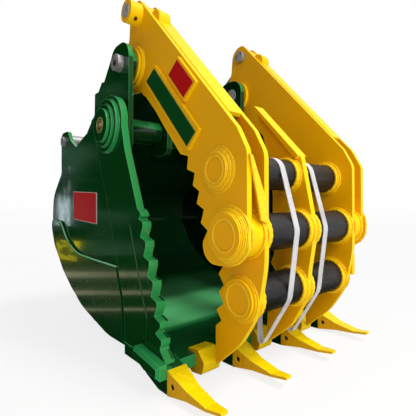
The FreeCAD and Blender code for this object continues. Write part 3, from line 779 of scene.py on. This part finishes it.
COVER_TOP, PLUG_PLACE = (-146, 194), (0, -3)
for side, sign in SIDES:
    disc(side + "_cover_bar", sign * BOX_INNER, sign * BOX_OUTER, COVER_TOP, 48, 0.006,
         CLAW, YELLOW)
    disc(side + "_pivot_plug", sign * 519, sign * 521.5, PLUG_PLACE, 15, 0.0005,
         BUCKET, RUST, 24)

# %% [markdown]
# The right arm has a small square stop low down on its inner plate, and the left arm has a
# grease point near the top. They could be left out, since they are so small, but without such
# things a machine looks like a toy. A block and a disc are enough for them.

# %% Arm stop and grease point
STOP = [(-735, -925), (-774, -925), (-774, -1024), (-735, -1024)]
block("right_arm_stop", [[(x, *p) for p in STOP] for x in (BOX_INNER, BOX_INNER + 25)], 0.004,
      CLAW, YELLOW)
disc("grease_point", -441, -455, (-69, 211), 11, 0.003, CLAW, RUST, 16)

# %% [markdown]
# Three thin brass rings, one in the other, mark the end of the left torque tube. Each is a band
# of metal with a slightly narrower top. Four circles, joined all round, give that section
# directly, where a torus would be too round.

# %% Brass rings
RING_FOOT, RING_TOP = -582, -583.8
RING_RADII = ((38, 33), (26, 22), (13, 0.5))


def washer(shape, outer, inner):
    loops = [[shape.verts.new(at(x, *p)) for p in circle(TORQUE, radius, 40)]
             for x, radius in ((RING_FOOT, inner), (RING_TOP, inner + 1),
                               (RING_TOP, outer - 1), (RING_FOOT, outer))]
    for one, two in zip(loops, loops[1:] + loops[:1]):
        band(shape, one, two)


for number, radii in enumerate(RING_RADII, 1):
    brass_ring = from_bmesh(f"brass_ring_{number}", lambda shape: washer(shape, *radii))
    keep(brass_ring, BUCKET, BRASS)
print("brass rings", len(RING_RADII))

# %% [markdown]
# A tooth slips over its adapter, and a pin through both locks it. Only the pin's ends show,
# level with the tooth's cheeks. Each tooth's own box gives the pin its length, so that the pins
# follow if the drawing's teeth move.

# %% Lock pins
LOCK_PLACE = (-526, -1349)
LOCK_RADIUS = 11.5
INSET = 5
for name in [name for name in nodes if name.startswith("tooth_") and "adapter" not in name]:
    (x0, _, _), (x1, _, _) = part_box(name)
    disc(name + "_lock_pin", x0 * 1000 + INSET, x1 * 1000 - INSET, LOCK_PLACE, LOCK_RADIUS, 0.001,
         BUCKET, RUST, 20)

# %% [markdown]
# Cast and cut wear parts have no sharp edges. The drawing leaves them square, which keeps its
# solids simple. Here a bevel rounds them, wider on the cast teeth than on the cut corners. It is a
# modifier that only looks at real corners, so the meshes stay as they came.

# %% Eased edges
CORNER_ANGLE = math.radians(28)
TOOTH_EDGE, SHROUD_EDGE = 0.008, 0.004
eased = [name for name in nodes if name.startswith(("tooth_", "lip_shroud")) or "corner" in name]
for name in eased:
    bevel = nodes[name].modifiers.new("eased", "BEVEL")
    bevel.width = TOOTH_EDGE if "tooth" in name else SHROUD_EDGE
    bevel.segments = 4
    bevel.limit_method = "ANGLE"
    bevel.angle_limit = CORNER_ANGLE
    bevel.use_clamp_overlap = True
print("eased", len(eased))

# %% [markdown]
# In a studio a white floor sweeps up into a white wall. Under lamps that are right for the paint,
# such a floor renders grey, and more light would bleach the bucket. So what the camera sees of
# it, directly, in a reflection or through glass, also glows a little by itself. All other rays
# meet a plain pale floor, which keeps the shadow and throws some light back up.

# %% White sweep
FLOOR_PALE = rgba(0.85, 0.85, 0.85)


def in_view(graph):
    """1 for rays of the camera, of reflections and of glass, 0 for all others."""
    rays = graph.node("ShaderNodeLightPath")
    seen = rays["Is Camera Ray"].math("ADD", rays["Is Glossy Ray"], clamp=True)
    return seen.math("ADD", rays["Is Transmission Ray"], clamp=True)


def white_sweep():
    recipe = Recipe("backdrop")
    height = recipe.node("ShaderNodeSeparateXYZ", None, {"Vector": recipe.place})["Z"]
    glow = recipe.node("ShaderNodeEmission", None,
                       {"Color": rgba(1, 1, 1), "Strength": 1.0})["Emission"]
    recipe.set(Base_Color=FLOOR_PALE, Roughness=0.9, Specular_IOR_Level=0.1)
    plain = Value(recipe, recipe.shader.outputs[0])
    share = in_view(recipe) * (0.80 + 0.20 * height.ramp(GROUND + 0.05, GROUND + 0.9))
    both = recipe.node("ShaderNodeMixShader", None, {0: share, 1: plain, 2: glow})["Shader"]
    recipe.feed(recipe.tree.nodes["Material Output"].inputs["Surface"], both)
    recipe.material.cycles.emission_sampling = "NONE"
    return recipe.material


SWEEP = white_sweep()
print("sweep", SWEEP.name)

# %% [markdown]
# The sweep is one bent sheet, square to the camera: a long floor, a quarter circle and a wall. A
# plane for each would leave a line where they meet.

# %% Floor and backdrop
BEND, BEND_START, WALL_TOP, FLOOR_END, HALF_WIDTH = 1.2, 3.2, 5.0, -4.5, 7


def backdrop(shape):
    turn = Matrix.Rotation(CAMERA_TURN, 4, "Z")
    bend = [(BEND_START + BEND * math.sin(a), BEND - BEND * math.cos(a))
            for a in (k * math.pi / 2 / 12 for k in range(13))]
    profile = [(FLOOR_END, 0.0)] + bend + [(BEND_START + BEND, WALL_TOP)]
    left, right = [[shape.verts.new(turn @ Vector((x, y, GROUND + z))) for y, z in profile]
                   for x in (-HALF_WIDTH, HALF_WIDTH)]
    for i in range(len(profile) - 1):
        shape.faces.new((left[i], right[i], right[i + 1], left[i + 1]))


stage = from_bmesh("backdrop", backdrop)
smooth(stage)
stage.data.materials.append(SWEEP)
stage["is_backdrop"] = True
print("backdrop faces", len(stage.data.polygons))

# %% [markdown]
# Gloss paint shows what stands round it, and in an all white room a deep green looks milky. A
# photographer hangs dark boards beside such a piece. These are seen in reflections alone: they
# hide from the camera, light nothing and throw no shadow. A soft noise between a dark and a pale
# colour keeps a reflection from looking like a flat card, and bands stand for the strips of
# light between things on the ground.

# %% How a board is made
GLOW = 1.25
AWAY = (-0.679, 0.734, 0)


def board(name, corners, dark, pale, scale, cover, bands=()):
    recipe = Recipe(name)
    streak = recipe.noise(1.0, 3, 0.5, scale).ramp(*cover)
    if bands:
        depth = recipe.vector("DOT_PRODUCT", recipe.place, AWAY)
        streak = streak * sum(1 - (depth - middle).math("ABSOLUTE").ramp(0.2 * half, half)
                              for middle, half in bands)
    recipe.set(Base_Color=rgba(0, 0, 0), Roughness=1.0, Specular_IOR_Level=0.0,
               Emission_Color=recipe.mix(rgba(*dark), rgba(*pale), streak), Emission_Strength=GLOW)
    recipe.material.cycles.emission_sampling = "NONE"
    piece = from_bmesh(name, lambda shape: shape.faces.new([shape.verts.new(c) for c in corners]))
    piece.data.materials.append(recipe.material)
    piece.visible_camera = piece.visible_diffuse = piece.visible_shadow = False
    piece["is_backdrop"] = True
    print(name, "bands", len(bands))


def upright(x0, y0, x1, y1, z0, z1):
    return [(x0, y0, z0), (x1, y1, z0), (x1, y1, z1), (x0, y0, z1)]


def lying(x0, y0, x1, y1, z):
    return [(x0, y0, z), (x1, y0, z), (x1, y1, z), (x0, y1, z)]


# %% [markdown]
# Four boards stand left of the bucket, where its side plate mirrors them to the camera: a tall
# dark wall, a pale and a yellow patch in front of it, and a banded sheet on the ground.

# %% Boards for the reflections
board("flag_wall", upright(-4.2, 0.6, 0.2, 4.1, GROUND - 0.01, 4.5),
      (0.004, 0.016, 0.008), (0.10, 0.20, 0.14), (0.9, 0.9, 2.2), (0.50, 0.75))
board("flag_streak", upright(-1.205, 2.83, -1.27, 2.49, -0.75, 0.0),
      (0.02, 0.03, 0.03), (1.9, 2.3, 2.5), (5.0, 5.0, 2.4), (0.44, 0.62))
board("flag_yellow", upright(-1.22, 2.75, -1.32, 2.29, GROUND, -0.93),
      (0.05, 0.08, 0.01), (2.0, 1.7, 0.05), (4.0, 4.0, 9.0), (0.42, 0.56))
board("flag_ground", lying(-5.0, -2.5, 1.0, 4.0, GROUND + 0.004),
      (0.008, 0.02, 0.010), (1.0, 0.92, 0.58), (1.6, 1.6, 1.0), (0.20, 0.50),
      ((1.84, 0.22), (1.15, 0.10), (0.72, 0.05)))

# %% [markdown]
# The world is a plain, dim, slightly cool light from all sides, which fills the shadows. Seen
# beyond the sweep it is white instead, as a studio is. An image of a sky would put its own
# pattern into the paint.

# %% World
SKY_COLOUR, SKY_STRENGTH = rgba(0.94, 0.96, 1.0), 0.40
world = bpy.data.worlds.new("world")
bpy.context.scene.world = world
world.use_nodes = True
sky = Graph(world.node_tree)
dim = sky.tree.nodes["Background"]
dim.inputs["Color"].default_value = SKY_COLOUR
dim.inputs["Strength"].default_value = SKY_STRENGTH
white = sky.node("ShaderNodeBackground", None, {"Color": rgba(1, 1, 1)})["Background"]
blend = sky.node("ShaderNodeMixShader", None,
                 {0: in_view(sky), 1: Value(sky, dim.outputs[0]), 2: white})["Shader"]
sky.feed(sky.tree.nodes["World Output"].inputs["Surface"], blend)
print("world strength", SKY_STRENGTH)

# %% [markdown]
# Three lamps light it. The key is a wide, soft sun from the front, right and above. A large
# panel behind the camera lights the left of the bucket, and a small one reaches the arms and the
# tubes. One bright lamp would be simpler, but it would leave the box arms in hard shadow. They
# are weak enough that each colour renders about as it is written.


# %% Lamps
def lamp(name, kind, place, aim, power, colour):
    data = bpy.data.lights.new(name, kind)
    data.energy = power
    data.color = colour
    piece = bpy.data.objects.new(name, data)
    bpy.context.collection.objects.link(piece)
    piece.location = place
    piece.rotation_euler = (Vector(aim) - Vector(place)).to_track_quat("-Z", "Y").to_euler()
    piece.visible_camera = False
    print(name, "power", power)
    return data


def panel(name, place, aim, power, width):
    data = lamp(name, "AREA", place, aim, power, (1.0, 0.98, 0.94))
    data.shape = "RECTANGLE"
    data.size = data.size_y = width


key = lamp("key", "SUN", (1.0, -1.6, 3.2), (0, 0, 0), 1.75, (1.0, 0.98, 0.95))
key.angle = math.radians(14)
panel("left_fill", (-2.6, -4.2, 1.5), (0.2, -0.5, -0.4), 40, 2.4)
panel("arm_fill", (-0.22, -2.6, 0.7), (0.36, -0.85, -0.25), 16, 0.5)

# %% [markdown] The box round everything shown, beads, sheets and pins included, is printed again.
# Beads, sheets and pins must not make the part bigger than its drawing.

# %% Finish
low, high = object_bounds()
print("pieces", len(made), "box", [round(v, 3) for v in (*low, *high)])
